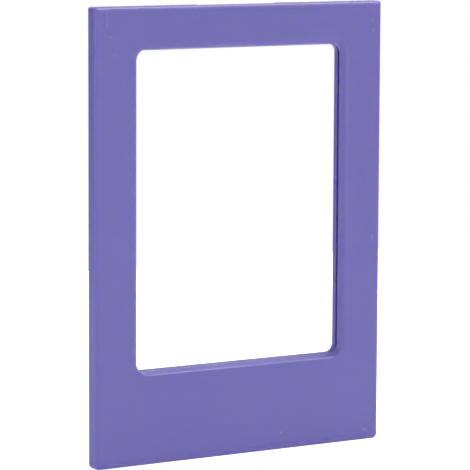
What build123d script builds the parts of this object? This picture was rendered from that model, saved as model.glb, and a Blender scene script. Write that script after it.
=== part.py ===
from build123d import *
import os

# Magnetic frame for one small instant print, seen upright.
# Millimetres. +X is to the right, -Y is the front, +Z is up. The origin lies on the back
# face, in the middle of the wide lower border. Every profile is drawn on the back face or
# on a plane in front of it, so an offset is a depth from the back.

# The print that the frame takes
image_width = 46.0
image_height = 62.0
print_side_border = 4.0
print_upper_border = 7.3
print_lower_border = 16.7

# Slot for the print
slot_side_clearance = 0.3
slot_depth = 0.45
slot_floor_height = 2.2  # solid below the print
headroom = 1.8  # from the print's top edge to the frame's
mouth_chamfer = 0.3

# Front moulding
rail_width = 6.0  # solid rail beside the slot
web_thickness = 1.6  # face in front of the print
window_side_margin = 0.85  # window larger than the image, left and right
window_upper_margin = 0.7
window_lower_margin = 0.6
window_corner = 2.1
lip_width = 1.5  # the lip's section is a quarter of an ellipse
lip_depth = 1.1
upper_outer_corner = 0.4
lower_outer_corner = 1.0
front_edge_radius = 0.8
back_edge_radius = 0.25
rim_wall = 0.9  # wall round the back plate
recess_corner = 0.3

# Back plate
plate_thickness = 1.15
plate_clearance = 0.1
plate_window_side_inset = 0.05  # the plate's window is smaller than the moulding's
plate_window_upper_inset = 0.15
plate_window_lower_inset = 0.25
plate_window_upper_corner = 1.6
plate_window_lower_corner = 1.8
plate_lip_radius = 0.3
plate_back_edge_radius = 0.2
notch_width = 18.0
notch_depth = 3.4
notch_corner = 1.5

# Magnets, three in each rail
magnet_diameter = 3.0
magnet_height = 2.0
magnet_sink = 0.15  # below the back face
magnet_chamfer = 0.15
magnet_clearance = 0.05  # beside the magnet
magnet_end_distance = 5.8  # from the frame's top and bottom

# Locating pins of the back plate
pin_diameter = 1.6
pin_height = 1.2
pin_chamfer = 0.2
pin_clearance = 0.05
pin_end_clearance = 0.1

# How far a cut runs past the material
overrun = 1.0

# Sizes worked out from the above
print_width = image_width + 2 * print_side_border
print_height = print_lower_border + image_height + print_upper_border
slot_width = print_width + 2 * slot_side_clearance
outer_width = slot_width + 2 * rail_width
outer_height = slot_floor_height + print_height + headroom
thickness = plate_thickness + slot_depth + web_thickness

window_width = image_width + 2 * window_side_margin
window_height = window_lower_margin + image_height + window_upper_margin
lower_border = slot_floor_height + print_lower_border - window_lower_margin

bottom = -lower_border / 2
top = bottom + outer_height
middle = (bottom + top) / 2
slot_floor = bottom + slot_floor_height
window_bottom = bottom + lower_border
window_middle = window_bottom + window_height / 2

recess_width = outer_width - 2 * rim_wall
recess_height = outer_height - 2 * rim_wall

plate_width = recess_width - 2 * plate_clearance
plate_height = recess_height - 2 * plate_clearance
plate_corner = recess_corner - plate_clearance
plate_window_width = window_width - 2 * plate_window_side_inset
plate_window_height = window_height - plate_window_lower_inset - plate_window_upper_inset
plate_window_middle = window_bottom + plate_window_lower_inset + plate_window_height / 2
tab_width = slot_width - 2 * plate_clearance

# Magnets and pins stand on one line, halfway between the slot and the plate's side
rail_line = (plate_width + slot_width) / 4
magnet_heights = {
    "top": top - magnet_end_distance,
    "middle": middle,
    "bottom": bottom + magnet_end_distance,
}
pin_heights = [
    (magnet_heights["top"] + middle) / 2,
    (magnet_heights["bottom"] + middle) / 2,
]
sides = {"left": -1, "right": 1}
magnet_places = [(side * rail_line, z) for z in magnet_heights.values() for side in sides.values()]
pin_places = [(side * rail_line, z) for z in pin_heights for side in sides.values()]
pocket_radius = magnet_diameter / 2 + magnet_clearance
pocket_depth = magnet_sink + magnet_height
socket_radius = pin_diameter / 2 + pin_clearance
socket_depth = pin_height + pin_end_clearance

# Planes across the frame, from the back to the front
back = Plane.XZ
seat = back.offset(plate_thickness)  # the plate lies against the front moulding here
ceiling = back.offset(plate_thickness + slot_depth)  # the print lies behind this
front = back.offset(thickness)

# Plane square to the window's right-hand edge, on the face
window_side = front.from_local_coords((window_width / 2, window_middle))
lip_plane = Plane(origin=window_side, x_dir=(1, 0, 0), z_dir=(0, 0, 1))

os.makedirs("parts", exist_ok=True)

# Front moulding: window with a rounded lip, recess for the plate, slot for the print
with BuildPart() as front_frame:
    with BuildSketch(back) as outline:
        with Locations((0, middle)):
            Rectangle(outer_width, outer_height)
        fillet(outline.vertices().group_by(Axis.Y)[0], lower_outer_corner)
    extrude(amount=thickness)
    front_face = front_frame.faces().sort_by(Axis.Y)[0]
    fillet(front_face.outer_wire().edges(), front_edge_radius)

    # The front radii meet in a mitre at the top corners, which are rounded only now
    with BuildSketch(back) as shoulders:
        with Locations((0, top)):
            Rectangle(outer_width, outer_height + overrun, align=(Align.CENTER, Align.MAX))
        fillet(shoulders.vertices().group_by(Axis.Y)[-1], upper_outer_corner)
    extrude(amount=thickness, mode=Mode.INTERSECT)
    back_face = front_frame.faces().sort_by(Axis.Y)[-1]
    fillet(back_face.outer_wire().edges(), back_edge_radius)

    # Window
    with BuildSketch(back):
        with Locations((0, window_middle)):
            RectangleRounded(window_width, window_height, window_corner)
    extrude(amount=thickness, mode=Mode.SUBTRACT)

    # Lip: the section outside a quarter ellipse, carried round the window's front edge
    window_edge = front_frame.faces().sort_by(Axis.Y)[0].inner_wires()[0]
    with BuildSketch(lip_plane):
        with BuildLine():
            curve = EllipticalCenterArc(
                (lip_width, lip_depth), lip_width, lip_depth, start_angle=180, arc_size=90
            )
            Polyline(
                curve @ 1,
                (lip_width, -overrun),
                (-overrun, -overrun),
                (-overrun, lip_depth),
                curve @ 0,
            )
        make_face()
    sweep(path=window_edge, mode=Mode.SUBTRACT)

    # Recess for the plate, open at the top as wide as the slot
    with BuildSketch(back):
        with Locations((0, middle)):
            RectangleRounded(recess_width, recess_height, recess_corner)
            Rectangle(slot_width, outer_height / 2 + overrun, align=(Align.CENTER, Align.MIN))
    extrude(amount=plate_thickness, mode=Mode.SUBTRACT)

    # Slot for the print, from its floor to the open top
    with BuildSketch(seat):
        with Locations((0, slot_floor)):
            Rectangle(slot_width, top - slot_floor + overrun, align=(Align.CENTER, Align.MIN))
    extrude(amount=slot_depth, mode=Mode.SUBTRACT)
    mouth = front_frame.edges().filter_by(Axis.X).sort_by_distance(ceiling.from_local_coords((0, top)))
    chamfer(mouth[0], mouth_chamfer)

    # Pockets for the magnets and sockets for the plate's pins
    with BuildSketch(seat):
        with Locations(magnet_places):
            Circle(pocket_radius)
    extrude(amount=pocket_depth - plate_thickness, mode=Mode.SUBTRACT)
    with BuildSketch(seat):
        with Locations(pin_places):
            Circle(socket_radius)
    extrude(amount=socket_depth, mode=Mode.SUBTRACT)

front_frame.part.label = "front_frame"
export_step(front_frame.part, "parts/front_frame.step")

# Back plate: fills the recess, with a tab up to the top edge and a thumb notch in it
with BuildPart() as back_plate:
    with BuildSketch(back):
        with Locations((0, middle)):
            RectangleRounded(plate_width, plate_height, plate_corner)
        with Locations((0, top)):
            Rectangle(tab_width, outer_height / 2, align=(Align.CENTER, Align.MAX))
    extrude(amount=plate_thickness)

    # Window, rounded at the front like a lip and eased at the back
    with BuildSketch(back) as opening:
        with Locations((0, plate_window_middle)):
            Rectangle(plate_window_width, plate_window_height)
        fillet(opening.vertices().group_by(Axis.Y)[0], plate_window_lower_corner)
        fillet(opening.vertices().group_by(Axis.Y)[-1], plate_window_upper_corner)
    extrude(amount=plate_thickness, mode=Mode.SUBTRACT)
    front_face = back_plate.faces().sort_by(Axis.Y)[0]
    fillet(front_face.inner_wires()[0].edges(), plate_lip_radius)
    back_face = back_plate.faces().sort_by(Axis.Y)[-1]
    fillet(back_face.inner_wires()[0].edges(), plate_back_edge_radius)

    # Top edge of the tab
    tab_edges = back_plate.edges().filter_by(Axis.X).sort_by_distance(back.from_local_coords((0, top)))
    fillet(tab_edges[0], back_edge_radius)
    tab_edges = back_plate.edges().filter_by(Axis.X).sort_by_distance(seat.from_local_coords((0, top)))
    chamfer(tab_edges[0], mouth_chamfer)

    # Notch for the thumb that pushes the print up
    with BuildSketch(back):
        with Locations((0, top)):
            RectangleRounded(notch_width, 2 * notch_depth, notch_corner)
    extrude(amount=plate_thickness, mode=Mode.SUBTRACT)

    # Holes for the magnets
    with BuildSketch(back):
        with Locations(magnet_places):
            Circle(pocket_radius)
    extrude(amount=plate_thickness, mode=Mode.SUBTRACT)

    # Locating pins
    with BuildSketch(seat):
        with Locations(pin_places):
            Circle(pin_diameter / 2)
    extrude(amount=pin_height)
    pin_tips = back_plate.edges().filter_by(GeomType.CIRCLE).group_by(Axis.Y)[0]
    chamfer(pin_tips, pin_chamfer)

back_plate.part.label = "back_plate"
export_step(back_plate.part, "parts/back_plate.step")

# Disc magnets, on the floors of their pockets
for row, z in magnet_heights.items():
    for side_name, side in sides.items():
        with BuildPart() as magnet:
            with BuildSketch(back.offset(magnet_sink)):
                with Locations((side * rail_line, z)):
                    Circle(magnet_diameter / 2)
            extrude(amount=magnet_height)
            chamfer(magnet.edges().filter_by(GeomType.CIRCLE), magnet_chamfer)
        magnet.part.label = f"magnet_{row}_{side_name}"
        export_step(magnet.part, f"parts/magnet_{row}_{side_name}.step")
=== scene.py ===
import math

import bmesh
import bpy
import numpy as np
from mathutils import Matrix, Vector
from mathutils.geometry import tessellate_polygon


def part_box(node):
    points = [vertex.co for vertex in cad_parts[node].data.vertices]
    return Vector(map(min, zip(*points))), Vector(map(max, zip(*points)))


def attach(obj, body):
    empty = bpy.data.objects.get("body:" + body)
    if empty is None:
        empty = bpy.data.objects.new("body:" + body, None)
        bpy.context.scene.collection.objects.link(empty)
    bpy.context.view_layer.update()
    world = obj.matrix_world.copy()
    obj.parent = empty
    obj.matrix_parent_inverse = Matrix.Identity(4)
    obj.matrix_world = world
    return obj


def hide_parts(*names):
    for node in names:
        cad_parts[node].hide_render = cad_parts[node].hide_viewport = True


# A slim magnetic frame for one small instant print: violet front moulding with a soft lip round
# its window, satin back plate, six nickel-plated disc magnets. Lengths are in millimetres until
# a mesh is made; the front looks along -Y and the height is Z.

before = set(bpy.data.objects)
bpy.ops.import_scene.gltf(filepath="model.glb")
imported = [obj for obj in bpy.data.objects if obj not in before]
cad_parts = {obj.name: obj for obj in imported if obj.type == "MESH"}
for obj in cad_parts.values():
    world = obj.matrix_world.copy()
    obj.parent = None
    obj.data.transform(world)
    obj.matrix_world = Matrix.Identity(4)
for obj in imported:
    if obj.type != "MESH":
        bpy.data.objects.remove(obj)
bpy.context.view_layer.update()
print("frame loaded:", len(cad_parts), "pieces")

mm = 0.001


def nodeBox(node):
    # Lowest and highest corner of a node of the frame
    low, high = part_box(node)
    return np.array(low) / mm, np.array(high) / mm


# Outlines and surfaces

def frameLoop(halfWidth, low, high, corners, mouth, counts):
    # A rounded rectangle walked clockwise from the middle of its top. The right half is the
    # top run, cut at the mouth's edge, a quarter circle, the side, a quarter circle and half
    # the bottom; the left half is its mirror image. Corners are the upper and lower radius.
    upperCorner, lowerCorner = corners
    turn = np.linspace(0, math.pi / 2, counts["corner"] + 1)
    upper = np.array([halfWidth - upperCorner, high - upperCorner])
    upper = upper + upperCorner * np.stack([np.sin(turn), np.cos(turn)], 1)
    lower = np.array([halfWidth - lowerCorner, low + lowerCorner])
    lower = lower + lowerCorner * np.stack([np.cos(turn), -np.sin(turn)], 1)

    def run(start, end, count):
        share = np.linspace(0, 1, count + 1)[1:-1, None]
        return np.array(start) * (1 - share) + np.array(end) * share

    middleTop, mouthTop, middleLow = (0.0, high), (mouth, high), (0.0, low)
    points = np.concatenate([
        [middleTop], run(middleTop, mouthTop, counts["mouth"]),
        [mouthTop], run(mouthTop, upper[0], counts["shoulder"]), upper,
        run(upper[-1], lower[0], counts["side"]), lower,
        run(lower[-1], middleLow, counts["bottom"]), [middleLow],
    ])
    return np.concatenate([points, points[-2:0:-1] * np.array([-1.0, 1.0])])


def frameRings(size, corners, profile, mouth, counts, softest=0.12):
    # A profile of (outwards, depth) pairs carried round a rounded rectangle: each pair gives
    # one ring, the rectangle grown by the outwards step, with its corner radii grown alike but
    # never under the softest radius, and set at that depth
    halfWidth, low, high = size
    rings = []
    for out, depth in profile:
        radii = [max(corner + out, softest) for corner in corners]
        loop = frameLoop(halfWidth + out, low - out, high + out, radii, mouth, counts)
        rings.append(np.insert(loop, 1, depth, 1))
    return np.stack(rings)


def roundedPath(corners, radii, gap, arcCount=8):
    # A closed outline of straight runs: each corner becomes an arc tangent to its two runs and
    # each run is cut into steps of about the gap. Gives points and outward normals.
    corners, radii = np.array(corners, float), np.array(radii, float)
    before, after = np.roll(corners, 1, 0), np.roll(corners, -1, 0)
    area = np.sum(corners[:, 0] * after[:, 1] - corners[:, 1] * after[:, 0])
    toBefore, toAfter = before - corners, after - corners
    toBefore /= np.linalg.norm(toBefore, axis=1)[:, None]
    toAfter /= np.linalg.norm(toAfter, axis=1)[:, None]
    half = np.arccos(np.clip((toBefore * toAfter).sum(1), -1, 1)) / 2
    bisector = toBefore + toAfter
    bisector /= np.linalg.norm(bisector, axis=1)[:, None]
    centre = corners + bisector * (radii / np.sin(half))[:, None]
    first = toBefore * (radii / np.tan(half))[:, None] + corners - centre
    last = toAfter * (radii / np.tan(half))[:, None] + corners - centre
    turn = (math.pi - 2 * half)[:, None, None]
    share = np.linspace(0, 1, arcCount + 1)[None, :, None]
    spoke = np.sin((1 - share) * turn) * first[:, None] + np.sin(share * turn) * last[:, None]
    spoke = spoke / np.sin(turn)
    bend = toBefore[:, 0] * toAfter[:, 1] - toBefore[:, 1] * toAfter[:, 0]
    outward = np.where(bend * area < 0, 1.0, -1.0)
    arcs = centre[:, None] + spoke
    arcNormals = spoke / radii[:, None, None] * outward[:, None, None]
    points, normals = [], []
    for i in range(len(corners)):
        start, end = arcs[i, -1], arcs[(i + 1) % len(corners), 0]
        steps = max(1, round(float(np.linalg.norm(end - start)) / gap))
        cut = np.linspace(0, 1, steps + 1)[1:-1, None]
        points += [arcs[i], start * (1 - cut) + end * cut]
        normals += [arcNormals[i], np.tile(arcNormals[i, -1], (len(cut), 1))]
    return np.concatenate(points), np.concatenate(normals)


def circlePath(centre, radius, count):
    # A circle walked the same way round as the loops, with its outward normals
    turn = np.linspace(0, 2 * math.pi, count, endpoint=False)
    normals = np.stack([np.sin(turn), np.cos(turn)], 1)
    return np.array(centre) + radius * normals, normals


def carry(path, profile):
    # A profile of (outwards, depth) pairs carried along a path: each pair gives one ring, the
    # path moved outwards along its normals and set at that depth. Either may differ by station.
    points, normals = path
    outwards = np.stack([np.broadcast_to(o, len(points)) for o, d in profile])
    depths = np.stack([np.broadcast_to(d, len(points)) for o, d in profile])
    flat = points[None] + outwards[..., None] * normals[None]
    return np.stack([flat[..., 0], depths, flat[..., 1]], -1)


def quarter(startOut, startDepth, endOut, endDepth, steps, bulge="depth"):
    # A quarter of an ellipse from one (outwards, depth) pair to another. It leaves the start
    # square to the other axis: "depth" leaves along the depth, "out" leaves along the face.
    turn = np.linspace(0, math.pi / 2, steps + 1)
    fast, slow = np.sin(turn), 1 - np.cos(turn)
    outShare, depthShare = (slow, fast) if bulge == "depth" else (fast, slow)
    return [
        (startOut + (endOut - startOut) * o, startDepth + (endDepth - startDepth) * d)
        for o, d in zip(outShare, depthShare)
    ]


def easedEdge(across, deep, power, steps):
    # A moulded edge from the face to the wall: at the share s of its width the face has
    # dropped by deep times (1 - the root of (1 - s to the power)). A power above 2 leaves the
    # face more slowly than an ellipse does. Gives (distance from the wall, depth) pairs.
    turn = np.linspace(0, math.pi / 2, steps + 1)
    share = np.sin(turn) ** (2 / power)
    drop = deep * (1 - np.cos(turn))
    return [(across * (1 - s), d) for s, d in zip(share, drop)]


def slopedEdge(radius, lean, rise, deep, arcSteps, slopeSteps):
    # A moulded edge that turns out of the face on an arc and then runs straight, leaning by the
    # lean off the wall's line, to the depth deep, where it stands the rise inside the wall.
    # Gives (distance from the wall, depth) pairs, without the last one.
    turn = np.linspace(0, math.pi / 2 - lean, arcSteps + 1)
    drop = radius * (1 - np.cos(turn))
    slope = (deep - drop[-1]) * math.tan(lean)
    start = slope - rise + radius * math.sin(turn[-1])
    arc = [(start - radius * math.sin(t), d) for t, d in zip(turn, drop)]
    shares = np.linspace(0, 1, slopeSteps + 2)[1:-1]
    return arc + [(slope * (1 - s) - rise, drop[-1] + (deep - drop[-1]) * s) for s in shares]


def ruled(outer, inner, shares):
    # Rings between two rings of as many stations, on the straight line that joins each pair
    shares = np.asarray(shares)[:, None, None]
    return outer[None] * (1 - shares) + inner[None] * shares


def gridFaces(rows, columns, closed=True):
    # The four-sided faces of a grid of points, row by row; a closed grid joins up its ends
    row = np.arange(rows - 1)[:, None]
    column = np.arange(columns if closed else columns - 1)[None]
    after = (column + 1) % columns
    corners = [row * columns + column, (row + 1) * columns + column]
    corners += [(row + 1) * columns + after, row * columns + after]
    return np.stack(np.broadcast_arrays(*corners), -1)


def gridPart(grid, closed=True, keep=None):
    # The points and faces of one grid, with the faces outside the keep mask left out
    rows, columns = grid.shape[:2]
    faces = gridFaces(rows, columns, closed)
    faces = faces.reshape(-1, 4) if keep is None else faces[keep]
    return grid.reshape(-1, 3), faces


def flatPart(outline, holes=()):
    # A flat region filled between its outline and its holes
    rings = [outline, *holes]
    triangles = tessellate_polygon([[Vector(p) for p in ring] for ring in rings])
    return np.concatenate(rings), np.array(triangles)


meshValues = {
    "merge": 0.0015,  # points nearer than this become one
    "collapse": 0.0005,  # edges shorter than this close up
    "sharpAngle": 38, "evening": 80,
    "fullLean": 0.29,  # halfway round an edge: one less the cosine of 45 degrees
}


def makePiece(name, parts, values=meshValues):
    # Joins the parts where their edges meet, points the faces outwards, shades the rounds
    # smooth and keeps how far each point's normal leans off the three axes, for the edge wear
    points, faces, count = [], [], 0
    for partPoints, partFaces in parts:
        points.append(partPoints * mm)
        faces += (partFaces + count).tolist()
        count += len(partPoints)
    mesh = bpy.data.meshes.new(name)
    mesh.from_pydata(np.concatenate(points).tolist(), [], faces)
    work = bmesh.new()
    work.from_mesh(mesh)
    bmesh.ops.remove_doubles(work, verts=work.verts, dist=values["merge"] * mm)
    bmesh.ops.dissolve_degenerate(work, edges=work.edges, dist=values["collapse"] * mm)
    loose = [v for v in work.verts if not v.link_faces]
    bmesh.ops.delete(work, geom=loose, context="VERTS")
    bmesh.ops.recalc_face_normals(work, faces=work.faces)
    openEdges = sum(1 for e in work.edges if len(e.link_faces) != 2)
    volume = work.calc_volume(signed=True) / mm**3
    work.to_mesh(mesh)
    work.free()
    mesh.shade_smooth()
    mesh.set_sharp_from_angle(angle=math.radians(values["sharpAngle"]))
    normals = np.zeros(len(mesh.vertices) * 3)
    mesh.vertex_normals.foreach_get("vector", normals)
    lean = 1 - np.abs(normals.reshape(-1, 3)).max(1)
    wear = mesh.attributes.new("wear", "FLOAT", "POINT")
    wear.data.foreach_set("value", np.clip(lean / values["fullLean"], 0, 1).astype(np.float32))
    piece = bpy.data.objects.new(name, mesh)
    bpy.context.scene.collection.objects.link(piece)
    evening = piece.modifiers.new("even shading", "WEIGHTED_NORMAL")
    evening.keep_sharp = True
    evening.weight = values["evening"]
    print(f"{name}: {len(mesh.polygons)} faces, {openEdges} open edges, {volume:.1f} cubic mm")
    return piece


# Magnets

rows, hands = ("top", "middle", "bottom"), ("left", "right")
magnetNodes = [f"magnet_{row}_{hand}" for row in rows for hand in hands]
magnetBoxes = [nodeBox(node) for node in magnetNodes]
magnetPlaces = [tuple((low + high)[[0, 2]] / 2) for low, high in magnetBoxes]
magnetValues = {"edge": 0.15, "edgeSteps": 6, "coreShare": 0.5, "pocketGap": 0.05, "sides": 64}


def makeMagnet(name, box, values):
    # A disc turned about its own axis: flat, rounded edge, side, rounded edge, flat. Each flat
    # has one more ring, at the core's share of the radius.
    low, high = box
    centre, radius, edge = (low + high) / 2, (high - low)[0] / 2, values["edge"]
    back, front, core = high[1], low[1], -radius * values["coreShare"]
    profile = [(-radius, back), (core, back)]
    profile += quarter(-edge, back, 0, back - edge, values["edgeSteps"], "out")
    profile += quarter(0, front + edge, -edge, front, values["edgeSteps"])
    profile += [(core, front), (-radius, front)]
    disc = carry(circlePath(centre[[0, 2]], radius, values["sides"]), profile)
    return makePiece(name, [gridPart(disc)])


# Front moulding

mouldingLow, mouldingHigh = nodeBox("front_frame")
pocketRadius = (magnetBoxes[0][1] - magnetBoxes[0][0])[0] / 2 + magnetValues["pocketGap"]
pocketDepth = -magnetBoxes[0][0][1]
rail = magnetPlaces[1][0]
pinHeights = [(magnetPlaces[i][1] + magnetPlaces[i + 2][1]) / 2 for i in (0, 2)]
pinPlaces = [(side * rail, height) for height in pinHeights for side in (-1, 1)]

frontValues = {
    "upperCorner": 0.4, "lowerCorner": 1.0, "softCorner": 0.3, "backRound": 0.25,
    "sideEdgeAcross": 1.0, "endEdgeAcross": 1.5, "edgeDeep": 0.85, "edgePower": 2.1,
    "windowHalfWidth": 23.8, "windowLow": 9.15, "windowHigh": 72.4, "windowCorner": 2.1,
    "lipAcross": 2.2, "lipDeep": 1.2, "lipPower": 3.0, "sideBackRound": 0.32,
    "sillRadius": 0.7, "sillLean": 25, "sillRise": 0.2,
    "rim": 0.9, "recessCorner": 0.3, "seat": 1.15, "smallRound": 0.08,
    "slotDeep": 0.45, "slotHalfWidth": 27.3, "slotFloor": -6.95, "slotCorner": 0.25,
    "mouthChamfer": 0.3, "socketRadius": 0.85, "socketDeep": 2.45, "holeSides": 40,
    "sink": 0.006, "sinkReach": 2.3, "socketSinkShare": 0.5, "socketReachShare": 0.6,
    "bow": 0.012,
    "rimSteps": 4, "backSteps": 5, "edgeSteps": 16, "faceSteps": 17, "lipSteps": 26,
    "slopeSteps": 6, "lipBackSteps": 6, "slotCornerSteps": 6,
    "stations": {"mouth": 36, "shoulder": 6, "corner": 10, "side": 110, "bottom": 40},
}


def sinkFace(face, values):
    # The moulded face isn't dead flat: it sinks by a few microns over each magnet pocket and
    # pin socket, as a bell curve of the distance, and dips towards the middle of each run
    v = values
    x, z = face[..., 0], face[..., 2]
    dip = np.zeros_like(x)
    for places, deep, reach in (
        (magnetPlaces, v["sink"], v["sinkReach"]),
        (pinPlaces, v["sink"] * v["socketSinkShare"], v["sinkReach"] * v["socketReachShare"]),
    ):
        for px, pz in places:
            dip += deep * np.exp(-((x - px) ** 2 + (z - pz) ** 2) / reach**2)
    share = np.linspace(0, 1, len(face) + 2)[1:-1, None]
    dip += v["bow"] * np.sin(math.pi * share) ** 2
    face[..., 1] += dip
    return face


def makeFrontFrame(values):
    # One shell of rings from the recess round to the window, then the slot, its mouth and the
    # seat with its holes
    v, stations = values, values["stations"]
    halfWidth, front = mouldingHigh[0], mouldingLow[1]
    bottom, top = mouldingLow[2], mouldingHigh[2]
    mouth, rim, small = v["slotHalfWidth"], v["rim"], v["smallRound"]
    outerSize = (halfWidth, bottom, top)
    outerCorners = (v["upperCorner"], v["lowerCorner"])
    recessSize = (halfWidth - rim, bottom + rim, top - rim)
    windowSize = (v["windowHalfWidth"], v["windowLow"], v["windowHigh"])
    windowMouth = (v["windowHalfWidth"] - v["windowCorner"]) * mouth / halfWidth
    seat, ceiling = -v["seat"], -v["seat"] - v["slotDeep"]
    chamferDeep = ceiling - v["mouthChamfer"]

    # Rings from the recess, over the rim and the outer wall, to the edge of the flat face
    recessProfile = [(0, seat)] + quarter(0, -small, small, 0, v["rimSteps"])
    inner = frameRings(recessSize, (v["recessCorner"],) * 2, recessProfile, mouth, stations)
    rimProfile = quarter(-v["backRound"], 0, 0, -v["backRound"], v["backSteps"], "out")
    rimProfile.append((0, chamferDeep))
    rimRings = frameRings(outerSize, outerCorners, rimProfile, mouth, stations)

    # The front edge is rounded over a wider band along the top and the bottom than up the sides
    def edgeRings(across):
        edge = easedEdge(across, v["edgeDeep"], v["edgePower"], v["edgeSteps"])[::-1]
        profile = [(-out, front + drop) for out, drop in edge]
        return frameRings(outerSize, outerCorners, profile, mouth, stations, v["softCorner"])

    wall, ends = edgeRings(v["sideEdgeAcross"]), edgeRings(v["endEdgeAcross"])
    nearEnd = (halfWidth - np.abs(wall[0, :, 0])) / v["upperCorner"]
    wall = wall + (ends - wall) * np.clip(nearEnd, 0, 1)[None, :, None]

    # The lip leaves the face slowly and turns down into the window's wall. Over the sill it is
    # tighter, and a slope rises from it to the wall's back edge; up the sides that edge is eased,
    # where it guides the print.
    def lipRings(lip, inside, ease):
        profile = [(out, front + drop) for out, drop in lip]
        profile += quarter(-inside, ceiling - ease, ease - inside, ceiling, v["lipBackSteps"])
        return frameRings(windowSize, (v["windowCorner"],) * 2, profile, windowMouth, stations)

    lipSteps, slopeSteps = v["lipSteps"], v["slopeSteps"]
    rise, sillDeep = v["sillRise"], ceiling - small - front
    sideLip = easedEdge(v["lipAcross"], v["lipDeep"], v["lipPower"], lipSteps)
    sillLip = slopedEdge(
        v["sillRadius"], math.radians(v["sillLean"]), rise, sillDeep,
        lipSteps - slopeSteps, slopeSteps,
    )
    sides, sill = lipRings(sideLip, 0.0, v["sideBackRound"]), lipRings(sillLip, rise, small)
    nearSill = (v["windowLow"] + v["windowCorner"] - sides[lipSteps, :, 2]) / v["windowCorner"]
    windowRings = sides + (sill - sides) * np.clip(nearSill, 0, 1)[None, :, None]
    faceShares = np.linspace(0, 1, v["faceSteps"] + 1)[1:-1]
    face = sinkFace(ruled(wall[-1], windowRings[0], faceShares), v)
    shell = np.concatenate([inner, rimRings, wall, face, windowRings])

    # No moulding stands in the mouth behind the chamfer
    rowsBehind = len(inner) + len(rimRings) - 1
    keep = np.ones((len(shell) - 1, shell.shape[1]), bool)
    mouthCount = stations["mouth"]
    keep[:rowsBehind, :mouthCount] = False
    keep[:rowsBehind, -mouthCount:] = False
    parts = [gridPart(shell, keep=keep)]

    # Slot: floor with rounded corners, then up each side to the mouth
    turn = np.linspace(0, math.pi / 2, v["slotCornerSteps"] + 1)
    corner, floor = v["slotCorner"], v["slotFloor"]
    across, up = mouth - corner + corner * np.cos(turn), floor + corner - corner * np.sin(turn)
    right = np.stack([across, up], 1)
    slotPath = np.concatenate([right, right[::-1] * np.array([-1.0, 1.0])])
    slotWall = np.stack([np.insert(slotPath, 1, ceiling, 1), np.insert(slotPath, 1, seat, 1)])
    parts.append(gridPart(slotWall, closed=False))

    # Ceiling of the slot, with its chamfer at the mouth
    mouthX = np.concatenate([shell[0, -mouthCount:, 0], shell[0, :mouthCount + 1, 0]])
    chamferLow, chamferHigh = (
        np.stack([mouthX, np.full_like(mouthX, deep), np.full_like(mouthX, height)], 1)
        for deep, height in ((ceiling, top - v["mouthChamfer"]), (chamferDeep, top))
    )
    parts.append(gridPart(np.stack([chamferLow, chamferHigh]), closed=False))
    ceilingEdge = np.concatenate([chamferLow, np.insert(slotPath, 1, ceiling, 1)])
    parts.append(flatPart(ceilingEdge, [shell[-1]]))

    # Ends of the mouth: the flat sides of the slot, up through the rim
    for side, column in ((1, mouthCount), (-1, -mouthCount)):
        rimEdge = shell[:rowsBehind + 1, column]
        slotEnd = [
            (side * mouth, ceiling, top - v["mouthChamfer"]),
            (side * mouth, ceiling, floor + corner),
            (side * mouth, seat, floor + corner),
        ]
        parts.append(flatPart(np.concatenate([rimEdge, np.array(slotEnd)])))

    # Seat of the back plate, with the magnets' pockets and the pins' sockets
    holes = []
    for places, radius, deep in (
        (magnetPlaces, pocketRadius, pocketDepth),
        (pinPlaces, v["socketRadius"], v["socketDeep"]),
    ):
        for place in places:
            path = circlePath(place, radius, v["holeSides"])
            well = carry(path, [(0, seat), (0, small - deep), (-small, -deep), (-radius, -deep)])
            holes.append(well[0])
            parts.append(gridPart(well))
    around = shell[0, mouthCount:shell.shape[1] - mouthCount + 1]
    seatEdge = np.concatenate([around, np.insert(slotPath, 1, seat, 1)[::-1]])
    parts.append(flatPart(seatEdge, holes))
    return makePiece("frontMoulding", parts)


# Back plate

plateHigh = nodeBox("back_plate")[1]
plateValues = {
    "fit": 0.1, "corner": 0.2, "frontRound": 0.06, "backRound": 0.12,
    "tabHalfWidth": 27.2, "tabRound": 0.35, "tabFootRound": 0.15,
    "leadIn": 0.3, "tabBackRound": 0.25, "easeOver": 0.3,
    "windowHalfWidth": 23.75, "windowLow": 9.45, "windowHigh": 72.25,
    "windowUpperCorner": 1.6, "windowLowerCorner": 1.8, "windowBackRound": 0.12,
    "sideRound": 0.1, "sillRound": 0.3, "sillDeep": 0.8,
    "notchHalfWidth": 9.0, "notchDeep": 3.4, "notchCorner": 1.5, "notchMouthRound": 0.3,
    "holeRound": 0.1, "holeSides": 40, "holeSteps": 4,
    "pinRadius": 0.8, "pinHeight": 1.2, "pinChamfer": 0.2, "pinSides": 32,
    "outlineGap": 1.0, "edgeSteps": 5, "lipSteps": 9, "lipBackSteps": 6, "topCut": 18.0,
    "stations": {"mouth": 20, "shoulder": 4, "corner": 12, "side": 60, "bottom": 24},
}


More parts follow.
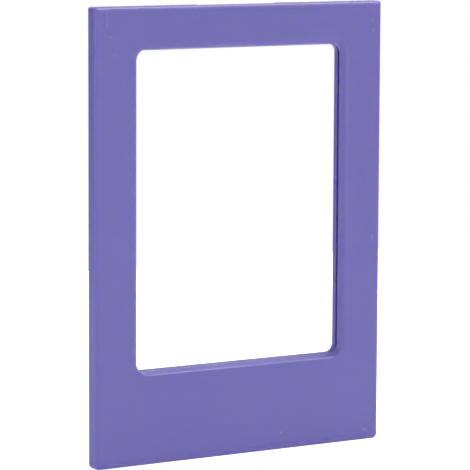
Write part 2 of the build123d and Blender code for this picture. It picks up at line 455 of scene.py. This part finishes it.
def makeBackPlate(values):
    # An outline with a rounded wall carried round it, a window, holes and pins, between two flats
    v = values
    front = -frontValues["seat"]
    half, tab, notch = plateHigh[0], v["tabHalfWidth"], v["notchHalfWidth"]
    edge = frontValues["rim"] + v["fit"]
    top, shoulder, low = plateHigh[2], mouldingHigh[2] - edge, mouldingLow[2] + edge
    floor = top - v["notchDeep"]
    right = [(notch, top), (tab, top), (tab, shoulder), (half, shoulder), (half, low)]
    corners = right + [(-x, z) for x, z in right[::-1]] + [(-notch, floor), (notch, floor)]
    radii = [v["notchMouthRound"], v["tabRound"], v["tabFootRound"], v["corner"], v["corner"]]
    radii = radii + radii[::-1] + [v["notchCorner"]] * 2
    outline = roundedPath(corners, radii, v["outlineGap"])

    # The tab's top edge is led in at the front and rounded more at the back than the rest
    nearTop = (outline[0][:, 1] - (top - v["tabRound"])) / v["easeOver"]
    rise = np.clip(nearTop, 0, 1) * np.clip(outline[1][:, 1], 0, 1)
    frontRound = v["frontRound"] + (v["leadIn"] - v["frontRound"]) * rise
    backRound = v["backRound"] + (v["tabBackRound"] - v["backRound"]) * rise
    turn = np.linspace(0, math.pi / 2, v["edgeSteps"] + 1)
    profile = [(frontRound * (np.sin(t) - 1), front + frontRound * (1 - np.cos(t))) for t in turn]
    profile += [(backRound * (np.cos(t) - 1), backRound * (np.sin(t) - 1)) for t in turn]
    wall = carry(outline, profile)

    # The window's edge is crisp up the sides and eased over the sill, from which the print rises
    windowCorners = (v["windowUpperCorner"], v["windowLowerCorner"])
    windowSize = (v["windowHalfWidth"], v["windowLow"], v["windowHigh"])
    backProfile = quarter(0, -v["windowBackRound"], v["windowBackRound"], 0, v["lipBackSteps"])
    crisp, eased = (
        frameRings(
            windowSize, windowCorners,
            quarter(ease, front, 0, front + deep, v["lipSteps"], "out") + backProfile,
            v["topCut"], v["stations"],
        )
        for ease, deep in ((v["sideRound"], v["sideRound"]), (v["sillRound"], v["sillDeep"]))
    )
    heights = crisp[v["lipSteps"] + 1, :, 2]
    nearSill = (v["windowLow"] + v["windowLowerCorner"] - heights) / v["windowLowerCorner"]
    windowWall = crisp + (eased - crisp) * np.clip(nearSill, 0, 1)[None, :, None]

    parts = [gridPart(wall), gridPart(windowWall)]
    frontHoles, backHoles = [windowWall[0]], [windowWall[-1]]
    holeProfile = [(0, front)] + quarter(0, -v["holeRound"], v["holeRound"], 0, v["holeSteps"])
    for place in magnetPlaces:
        hole = carry(circlePath(place, pocketRadius, v["holeSides"]), holeProfile)
        parts.append(gridPart(hole))
        frontHoles.append(hole[0])
        backHoles.append(hole[-1])
    radius, chamfer, tip = v["pinRadius"], v["pinChamfer"], front - v["pinHeight"]
    pinProfile = [(0, front), (0, tip + chamfer), (-chamfer, tip), (-radius, tip)]
    for place in pinPlaces:
        pin = carry(circlePath(place, radius, v["pinSides"]), pinProfile)
        parts.append(gridPart(pin))
        frontHoles.append(pin[0])
    parts.append(flatPart(wall[0], frontHoles))
    parts.append(flatPart(wall[-1], backHoles))
    return makePiece("backPlate", parts)


# Shader groups

def feed(tree, socket, value):
    # Gives an input a link from another socket, or a plain value
    if isinstance(value, bpy.types.NodeSocket):
        tree.links.new(value, socket)
    else:
        socket.default_value = value


def addNode(tree, kind, x, y, **settings):
    # Adds one node; a setting named after an input feeds that input, any other the node itself
    node = tree.nodes.new(kind)
    node.location = (x, y)
    for key, value in settings.items():
        if hasattr(node, key):
            setattr(node, key, value)
        else:
            feed(tree, node.inputs[key], value)
    return node


def newGroup(name, inputs, outputs):
    group = bpy.data.node_groups.new(name, "ShaderNodeTree")
    for label, kind, value in inputs:
        socket = group.interface.new_socket(name=label, in_out="INPUT", socket_type=kind)
        if value is not None:
            socket.default_value = value
    for label in outputs:
        group.interface.new_socket(name=label, in_out="OUTPUT", socket_type="NodeSocketFloat")
    start = addNode(group, "NodeGroupInput", -900, 0)
    return group, start, addNode(group, "NodeGroupOutput", 900, 0)


def mathNode(tree, operation, x, y, *values, clamp=False):
    # One step of arithmetic on sockets or numbers
    node = addNode(tree, "ShaderNodeMath", x, y, operation=operation, use_clamp=clamp)
    for socket, value in zip(node.inputs, values):
        feed(tree, socket, value)
    return node.outputs[0]


def vectorNode(tree, operation, x, y, *values, label=""):
    # One step of vector arithmetic. Gives a number where the operation makes one.
    node = addNode(tree, "ShaderNodeVectorMath", x, y, operation=operation, label=label)
    for socket, value in zip(node.inputs, values):
        feed(tree, socket, value)
    return node.outputs["Value" if operation in ("LENGTH", "DOT_PRODUCT") else "Vector"]


def noiseNode(tree, x, y, vector, **settings):
    return addNode(tree, "ShaderNodeTexNoise", x, y, Vector=vector, **settings).outputs["Fac"]


def mapRange(tree, x, y, value, given, wanted, kind="LINEAR"):
    # Takes a value from the given range to the wanted one
    node = addNode(tree, "ShaderNodeMapRange", x, y, interpolation_type=kind, Value=value)
    keys = ("From Min", "From Max", "To Min", "To Max")
    for key, number in zip(keys, (*given, *wanted)):
        node.inputs[key].default_value = number
    return node.outputs["Result"]


def mixColours(tree, x, y, factor, first, second):
    # Mixes two colours; each may be a socket or a plain colour
    node = addNode(tree, "ShaderNodeMix", x, y, data_type="RGBA", Factor=factor)
    for socket, value in ((node.inputs[6], first), (node.inputs[7], second)):
        feed(tree, socket, (*value, 1.0) if isinstance(value, tuple) else value)
    return node.outputs[2]


def placeGroup(tree, group, x, y, vector, **settings):
    return addNode(tree, "ShaderNodeGroup", x, y, node_tree=group, Vector=vector, **settings)


skinValues = {
    "grainScale": 5200.0, "rippleScale": 420.0, "grainAmount": 0.5,
    "grain": {"Detail": 3.0, "Roughness": 0.6}, "ripple": {"Detail": 1.0, "Roughness": 0.4},
    "clouds": {"Scale": 34.0, "Detail": 3.0, "Roughness": 0.55},
}


def buildMouldedSkin(values):
    # The skin of moulded plastic: a fine eroded grain on a soft ripple, and slow clouds of tone
    group, start, end = newGroup(
        "mouldedSkin",
        [("Vector", "NodeSocketVector", None),
         ("Grain Scale", "NodeSocketFloat", values["grainScale"]),
         ("Ripple Scale", "NodeSocketFloat", values["rippleScale"]),
         ("Grain Amount", "NodeSocketFloat", values["grainAmount"])],
        ["Height", "Clouds"],
    )
    given, vector = start.outputs, start.outputs["Vector"]
    grain = noiseNode(group, -600, 200, vector, Scale=given["Grain Scale"], **values["grain"])
    ripple = noiseNode(group, -600, -50, vector, Scale=given["Ripple Scale"], **values["ripple"])
    clouds = noiseNode(group, -600, -300, vector, **values["clouds"])
    fine = mathNode(group, "MULTIPLY", -300, 200, grain, given["Grain Amount"])
    feed(group, end.inputs["Height"], mathNode(group, "ADD", 0, 100, fine, ripple))
    feed(group, end.inputs["Clouds"], clouds)
    return group


wearValues = {
    "breakUp": {"Scale": 260.0, "Detail": 5.0, "Roughness": 0.65},
    "patches": (0.42, 0.68), "power": 1.5, "amount": 1.0,
}


def buildEdgeWear(values):
    # Where edges rub: the mesh's lean, broken up by noise so that the wear comes and goes
    group, start, end = newGroup(
        "edgeWear",
        [("Vector", "NodeSocketVector", None), ("Amount", "NodeSocketFloat", values["amount"])],
        ["Mask"],
    )
    lean = addNode(group, "ShaderNodeAttribute", -600, 200, attribute_name="wear").outputs["Fac"]
    breakUp = noiseNode(group, -600, -100, start.outputs["Vector"], **values["breakUp"])
    patchy = mapRange(group, -300, -100, breakUp, values["patches"], (0, 1))
    edge = mathNode(group, "POWER", -300, 200, lean, values["power"])
    both = mathNode(group, "MULTIPLY", 0, 100, edge, patchy)
    mask = mathNode(group, "MULTIPLY", 300, 100, both, start.outputs["Amount"], clamp=True)
    feed(group, end.inputs["Mask"], mask)
    return group


handlingValues = {
    "turn": (0.0, 0.6, 0.0), "stretch": (60.0, 60.0, 2600.0), "scratchAmount": 0.5,
    "lines": {"Scale": 1.0, "Detail": 2.0, "Roughness": 0.7}, "thinLines": (0.70, 0.78),
    "smears": {"Scale": 75.0, "Detail": 4.0, "Roughness": 0.6, "Distortion": 0.8},
}


def buildHandling(values):
    # Hairline scratches lying one way, and the soft smears that fingers leave
    group, start, end = newGroup(
        "handling",
        [("Vector", "NodeSocketVector", None), ("Turn", "NodeSocketVector", values["turn"]),
         ("Scratch Amount", "NodeSocketFloat", values["scratchAmount"])],
        ["Scratches", "Smears"],
    )
    given = start.outputs
    turned = addNode(
        group, "ShaderNodeMapping", -700, 200,
        Vector=given["Vector"], Rotation=given["Turn"], Scale=values["stretch"],
    )
    lines = noiseNode(group, -450, 200, turned.outputs["Vector"], **values["lines"])
    thin = mapRange(group, -200, 200, lines, values["thinLines"], (0, 1))
    amount = mathNode(group, "MULTIPLY", 100, 200, thin, given["Scratch Amount"])
    feed(group, end.inputs["Scratches"], amount)
    smears = noiseNode(group, -450, -150, given["Vector"], **values["smears"])
    feed(group, end.inputs["Smears"], smears)
    return group


scuffValues = {
    "reach": (0.001, 0.01, 0.001), "grit": {"Scale": 1500.0, "Detail": 2.0}, "raggedness": 0.8,
    "fade": (1.4, 0.6),
}


def buildScuff(values):
    # One soft scuff: it fades with the distance from its middle, stretched by the reach and
    # roughened by noise
    group, start, end = newGroup(
        "scuff",
        [("Vector", "NodeSocketVector", None), ("Middle", "NodeSocketVector", (0.0, 0.0, 0.0)),
         ("Reach", "NodeSocketVector", values["reach"])],
        ["Mask"],
    )
    given = start.outputs
    apart = vectorNode(group, "SUBTRACT", -650, 100, given["Vector"], given["Middle"])
    stretched = vectorNode(group, "DIVIDE", -450, 100, apart, given["Reach"])
    length = vectorNode(group, "LENGTH", -250, 100, stretched)
    grit = noiseNode(group, -450, -150, given["Vector"], **values["grit"])
    ragged = mathNode(group, "MULTIPLY_ADD", -50, 0, grit, values["raggedness"], length)
    mask = mapRange(group, 200, 50, ragged, values["fade"], (0, 1), "SMOOTHSTEP")
    feed(group, end.inputs["Mask"], mask)
    return group


mouldedSkin, edgeWear = buildMouldedSkin(skinValues), buildEdgeWear(wearValues)
handling, scuff = buildHandling(handlingValues), buildScuff(scuffValues)
print("shader groups built")


# Materials

def newMaterial(name):
    material = bpy.data.materials.new(name)
    material.use_nodes = True
    tree = material.node_tree
    tree.nodes.clear()
    output = addNode(tree, "ShaderNodeOutputMaterial", 1300, 0)
    shader = addNode(tree, "ShaderNodeBsdfPrincipled", 1000, 0)
    tree.links.new(shader.outputs["BSDF"], output.inputs["Surface"])
    place = addNode(tree, "ShaderNodeTexCoord", -1200, 0)
    return material, tree, shader, place.outputs["Object"]


frontLook = {
    "colour": (0.1407, 0.1186, 0.382), "shade": (0.1348, 0.1136, 0.3698),
    "tones": (0.3, 0.7),  # the clouds' values where the shade ends and the colour is full
    "worn": (0.22, 0.195, 0.49), "wear": 0.55, "wearShown": 0.08,
    "smooth": 0.17, "rough": 0.23, "smears": (0.35, 0.7), "ior": 1.45,
    "grain": 0.5, "bump": 0.05, "bumpDistance": 0.02,
    "glow": 1.0, "glowRadius": (0.12, 0.11, 1.0), "glowScale": 1.2,  # light under the skin
    "scratches": 0.12, "marksShown": 0.09, "marksDull": 0.18, "marksDeep": 0.4,
    "scuffDeep": 3.0,
    "scuffs": [  # middle across and up the face, reach across and up
        (-30.1, 75.1, 0.35, 0.4), (-30.9, 78.3, 0.24, 2.6), (31.0, 77.2, 0.28, 0.5),
        (31.2, 74.9, 0.35, 0.4), (31.3, 32.7, 0.4, 0.9), (30.0, -7.0, 0.8, 0.28),
        (9.4, -5.6, 0.5, 0.35), (-29.2, 71.6, 0.35, 0.3),
    ],
}
# The same violet plastic as the front, with its colour and shade about an eighth darker: painted
# shade for its walls, seen deep in the window
plateLook = {
    **frontLook, "colour": (0.1238, 0.1044, 0.3362), "shade": (0.1186, 0.1, 0.3254),
    "smooth": 0.27, "rough": 0.35, "grain": 1.0, "bump": 0.10, "scratches": 0.2, "scuffs": [],
}


def violetMoulding(name, values):
    # Violet plastic as moulded: clouds of tone, marks and rubbed edges in its colour, smears
    # and marks in its gloss, grain and marks in its bump, and light that runs under its skin
    v = values
    material, tree, shader, place = newMaterial(name)
    skin = placeGroup(tree, mouldedSkin, -900, 300, place, **{"Grain Amount": v["grain"]})
    worn = placeGroup(tree, edgeWear, -900, 0, place, Amount=v["wear"])
    hands = placeGroup(tree, handling, -900, -300, place, **{"Scratch Amount": v["scratches"]})
    tone = mapRange(tree, -650, 400, skin.outputs["Clouds"], v["tones"], (0, 1))
    colour = mixColours(tree, -400, 400, tone, v["shade"], v["colour"])
    marks = hands.outputs["Scratches"]
    for index, (x, z, wide, tall) in enumerate(v["scuffs"]):
        spot = placeGroup(
            tree, scuff, -900, -600 - 200 * index, place,
            Middle=(x * mm, mouldingLow[1] * mm, z * mm),
            Reach=(wide * mm, v["scuffDeep"] * mm, tall * mm),
        ).outputs["Mask"]
        marks = mathNode(tree, "ADD", -600, -600 - 200 * index, marks, spot, clamp=True)
    faint = mathNode(tree, "MULTIPLY", -150, 100, marks, v["marksShown"])
    edges = mathNode(tree, "MULTIPLY", -150, 0, worn.outputs["Mask"], v["wearShown"])
    rubbed = mathNode(tree, "MAXIMUM", 50, 150, faint, edges)
    feed(tree, shader.inputs["Base Color"], mixColours(tree, 300, 300, rubbed, colour, v["worn"]))
    gloss = mapRange(
        tree, -400, -100, hands.outputs["Smears"], v["smears"], (v["smooth"], v["rough"])
    )
    dull = mathNode(tree, "MULTIPLY_ADD", 300, -100, marks, v["marksDull"], gloss)
    feed(tree, shader.inputs["Roughness"], dull)
    groove = mathNode(tree, "MULTIPLY", 200, -400, marks, v["marksDeep"])
    height = mathNode(tree, "SUBTRACT", 400, -300, skin.outputs["Height"], groove)
    bump = addNode(
        tree, "ShaderNodeBump", 700, -300,
        Strength=v["bump"], Distance=v["bumpDistance"] * mm, Height=height,
    )
    feed(tree, shader.inputs["Normal"], bump.outputs["Normal"])
    shader.inputs["IOR"].default_value = v["ior"]
    shader.inputs["Subsurface Weight"].default_value = v["glow"]
    shader.inputs["Subsurface Radius"].default_value = v["glowRadius"]
    shader.inputs["Subsurface Scale"].default_value = v["glowScale"] * mm
    return material


nickelLook = {
    "bright": (0.66, 0.65, 0.62), "tarnish": (0.52, 0.49, 0.43), "tarnishing": (0.4, 0.75),
    "wear": 0.8, "smooth": 0.16, "rough": 0.34, "smears": (0.35, 0.7),
    "scratches": 0.9, "scratchDull": 0.2,
}


def nickelPlate(name, values):
    # Bright nickel, tarnished in patches and rubbed bright again along the edges
    v = values
    material, tree, shader, place = newMaterial(name)
    hands = placeGroup(tree, handling, -900, 100, place, **{"Scratch Amount": v["scratches"]})
    worn = placeGroup(tree, edgeWear, -900, -200, place, Amount=v["wear"])
    smears = hands.outputs["Smears"]
    age = mapRange(tree, -600, 200, smears, v["tarnishing"], (0, 1))
    colour = mixColours(tree, -300, 200, age, v["bright"], v["tarnish"])
    colour = mixColours(tree, 0, 200, worn.outputs["Mask"], colour, v["bright"])
    feed(tree, shader.inputs["Base Color"], colour)
    gloss = mapRange(tree, -300, -100, smears, v["smears"], (v["smooth"], v["rough"]))
    scratches = hands.outputs["Scratches"]
    rough = mathNode(tree, "MULTIPLY_ADD", 0, -100, scratches, v["scratchDull"], gloss)
    feed(tree, shader.inputs["Roughness"], rough)
    shader.inputs["Metallic"].default_value = 1.0
    return material


frontPlastic = violetMoulding("violetFront", frontLook)
platePlastic = violetMoulding("violetPlate", plateLook)
nickel = nickelPlate("nickelPlate", nickelLook)
print("materials built")


# Pieces on the frame

def dress(piece, node, material):
    piece.data.materials.append(material)
    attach(piece, "root")
    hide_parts(node)


dress(makeFrontFrame(frontValues), "front_frame", frontPlastic)
dress(makeBackPlate(plateValues), "back_plate", platePlastic)
for node, box in zip(magnetNodes, magnetBoxes):
    first, row, hand = node.split("_")
    magnet = makeMagnet(first + row.title() + hand.title(), box, magnetValues)
    dress(magnet, node, nickel)
print("pieces dressed")


# Stage, light and camera

stageValues = {
    "floorHalf": 250.0, "floorLines": 9, "floorColour": (0.92, 0.92, 0.92), "floorShade": 0.99,
    "floorClouds": {"Scale": 1.5, "Detail": 2.0}, "floorRough": 0.85, "floorShine": 0.2,
    "floorLift": 0.6, "floorGlow": 0.2,
    # the wedge of painted shade on the floor: its direction, its inner and outer angle, its depth
    "wedgeTowards": 148, "wedgeAngles": (12, 26), "wedgeDepth": 0.45,
    "seen": 1.0, "low": 1.02, "level": 0.93, "high": 0.74, "rise": (0.2, 0.9), "horizon": 0.02,
}
lightLobes = [
    # azimuth from the front towards the left, elevation, inner and outer radius in degrees,
    # strength
    ("overhead softbox", -75, 57, 5, 20, 6.0),
    ("upper right wall", -50, 41, 8, 26, 0.9),
    ("front card", -13, -7, 5, 18, 1.05),
    ("front wall", -5, 10, 8, 24, 0.45),
    ("front right wall", -36, -7, 4, 12, 0.15),
    ("left wall", 56, 2, 12, 40, 0.28),
    ("far left wall", 97, 8, 8, 30, 0.8),
    ("dark corner, behind left", 148, 2, 5, 14, -0.95),
    ("dark backdrop", -172, -6, 14, 34, -0.6),
    ("grey backdrop, behind right", -142, 1, 8, 24, -0.6),
    ("bright ceiling, behind right", -136, 38, 10, 38, 0.55),
]


def lookDirection(azimuth, elevation):
    # Unit vector from the object towards an azimuth and an elevation
    azimuth, elevation = math.radians(azimuth), math.radians(elevation)
    level = math.cos(elevation)
    return Vector((-math.sin(azimuth) * level, -math.cos(azimuth) * level, math.sin(elevation)))


def coneNode(tree, x, y, direction, axis, angles, strength, label=""):
    # By direction: the strength inside the first angle off the axis, none outside the second
    towards = vectorNode(tree, "DOT_PRODUCT", x, y, direction, axis, label=label)
    near, far = (math.cos(math.radians(angle)) for angle in angles)
    return mapRange(tree, x + 200, y, towards, (far, near), (0, strength), "SMOOTHSTEP")


def makeWorld(values, lobes):
    # Light by direction: a base that changes with the height of the direction, and lobes that
    # fade from full strength inside the inner radius to none at the outer one. What the camera
    # itself sees behind the object is plain white.
    v = values
    world = bpy.data.worlds.new("studio")
    bpy.context.scene.world = world
    world.use_nodes = True
    tree = world.node_tree
    background = tree.nodes["Background"]
    direction = addNode(tree, "ShaderNodeTexCoord", -1400, 0).outputs["Generated"]
    split = addNode(tree, "ShaderNodeSeparateXYZ", -1200, 300)
    feed(tree, split.inputs[0], direction)
    height = split.outputs["Z"]
    total = mapRange(tree, -1000, 400, height, v["rise"], (v["level"], v["high"]), "SMOOTHSTEP")
    horizon = (v["horizon"], -v["horizon"])
    below = mapRange(tree, -1000, 200, height, horizon, (0, v["low"] - v["level"]))
    total = mathNode(tree, "ADD", -800, 300, total, below)
    for index, (label, azimuth, elevation, inner, outer, strength) in enumerate(lobes):
        axis = lookDirection(azimuth, elevation)
        lobe = coneNode(
            tree, -1000, -200 * index, direction, axis, (inner, outer), strength, label
        )
        total = mathNode(tree, "ADD", -600 + 100 * index, 200 - 100 * index, total, lobe)
    total = mathNode(tree, "MAXIMUM", -200, 200, total, 0.0)
    rays = addNode(tree, "ShaderNodeLightPath", -200, 400)
    seen = addNode(
        tree, "ShaderNodeMix", 0, 200, data_type="FLOAT", Factor=rays.outputs["Is Camera Ray"]
    )
    feed(tree, seen.inputs[2], total)
    feed(tree, seen.inputs[3], v["seen"])
    feed(tree, background.inputs["Strength"], seen.outputs[0])
    background.inputs["Color"].default_value = (1.0, 1.0, 1.0, 1.0)


def makeFloor(values):
    # A square sheet, one grid of points, level with the foot of the frame. It glows a little,
    # and for the camera's own rays it is lifted to white, so that its shadow stays faint.
    v = values
    line = np.linspace(-v["floorHalf"], v["floorHalf"], v["floorLines"])
    x, y = np.meshgrid(line, line)
    grid = np.stack([x, y, np.full_like(x, mouldingLow[2])], -1)
    points, faces = gridPart(grid, closed=False)
    mesh = bpy.data.meshes.new("floor")
    mesh.from_pydata((points * mm).tolist(), [], faces[:, ::-1].tolist())
    floor = bpy.data.objects.new("floor", mesh)
    bpy.context.scene.collection.objects.link(floor)
    material, tree, shader, place = newMaterial("paleFloor")
    clouds = noiseNode(tree, -600, 0, place, **v["floorClouds"])
    shade = tuple(c * v["floorShade"] for c in v["floorColour"])
    colour = mixColours(tree, 200, 0, clouds, v["floorColour"], shade)

    # A wedge of painted shade darkens the floor from the frame's left foot to the back. The
    # frame's side mirrors it, and for the camera's rays it is lifted by as much again.
    foot = Vector((mouldingLow[0], 0, mouldingLow[2])) * mm
    apart = vectorNode(tree, "SUBTRACT", -600, -300, place, foot)
    unit = vectorNode(tree, "NORMALIZE", -400, -300, apart)
    axis = lookDirection(v["wedgeTowards"], 0)
    shadeWedge = coneNode(tree, -200, -300, unit, axis, v["wedgeAngles"], v["wedgeDepth"])
    colour = mixColours(tree, 400, 0, shadeWedge, colour, (0.0, 0.0, 0.0))
    feed(tree, shader.inputs["Base Color"], colour)
    shader.inputs["Roughness"].default_value = v["floorRough"]
    shader.inputs["Specular IOR Level"].default_value = v["floorShine"]
    shader.inputs["Emission Color"].default_value = (1.0, 1.0, 1.0, 1.0)
    seen = addNode(tree, "ShaderNodeLightPath", 400, -300).outputs["Is Camera Ray"]
    lift = mathNode(tree, "ADD", 400, -500, shadeWedge, v["floorLift"])
    glow = mathNode(tree, "MULTIPLY_ADD", 700, -300, seen, lift, v["floorGlow"])
    feed(tree, shader.inputs["Emission Strength"], glow)
    mesh.materials.append(material)


makeFloor(stageValues)
makeWorld(stageValues, lightLobes)
bpy.context.scene.view_settings.view_transform = "Standard"
print("stage and light set")

cameraValues = {
    "aim": (-1.739, -3.2, 35.206), "distance": 590.126, "azimuth": 32.165, "elevation": 7.006,
    "roll": 0.247, "lens": 228.06, "sensor": 36.0, "clip": (0.05, 60.0),
}


def makeCamera(values):
    # Stands off the aim point along the line of sight, to the left of the front and a little
    # above, and leans about that line by the roll
    azimuth, roll = math.radians(values["azimuth"]), math.radians(values["roll"])
    ahead = -lookDirection(values["azimuth"], values["elevation"])
    level = Vector((math.cos(azimuth), -math.sin(azimuth), 0.0))
    upright = level.cross(ahead)
    right = level * math.cos(roll) + upright * math.sin(roll)
    up = upright * math.cos(roll) - level * math.sin(roll)
    place = (Vector(values["aim"]) - ahead * values["distance"]) * mm
    turn = Matrix((right, up, -ahead)).transposed().to_4x4()
    lens = bpy.data.cameras.new("camera")
    lens.lens, lens.sensor_width = values["lens"], values["sensor"]
    lens.clip_start, lens.clip_end = values["clip"]
    camera = bpy.data.objects.new("camera", lens)
    camera.matrix_world = Matrix.Translation(place) @ turn
    bpy.context.scene.collection.objects.link(camera)
    bpy.context.scene.camera = camera


makeCamera(cameraValues)
print("camera set")
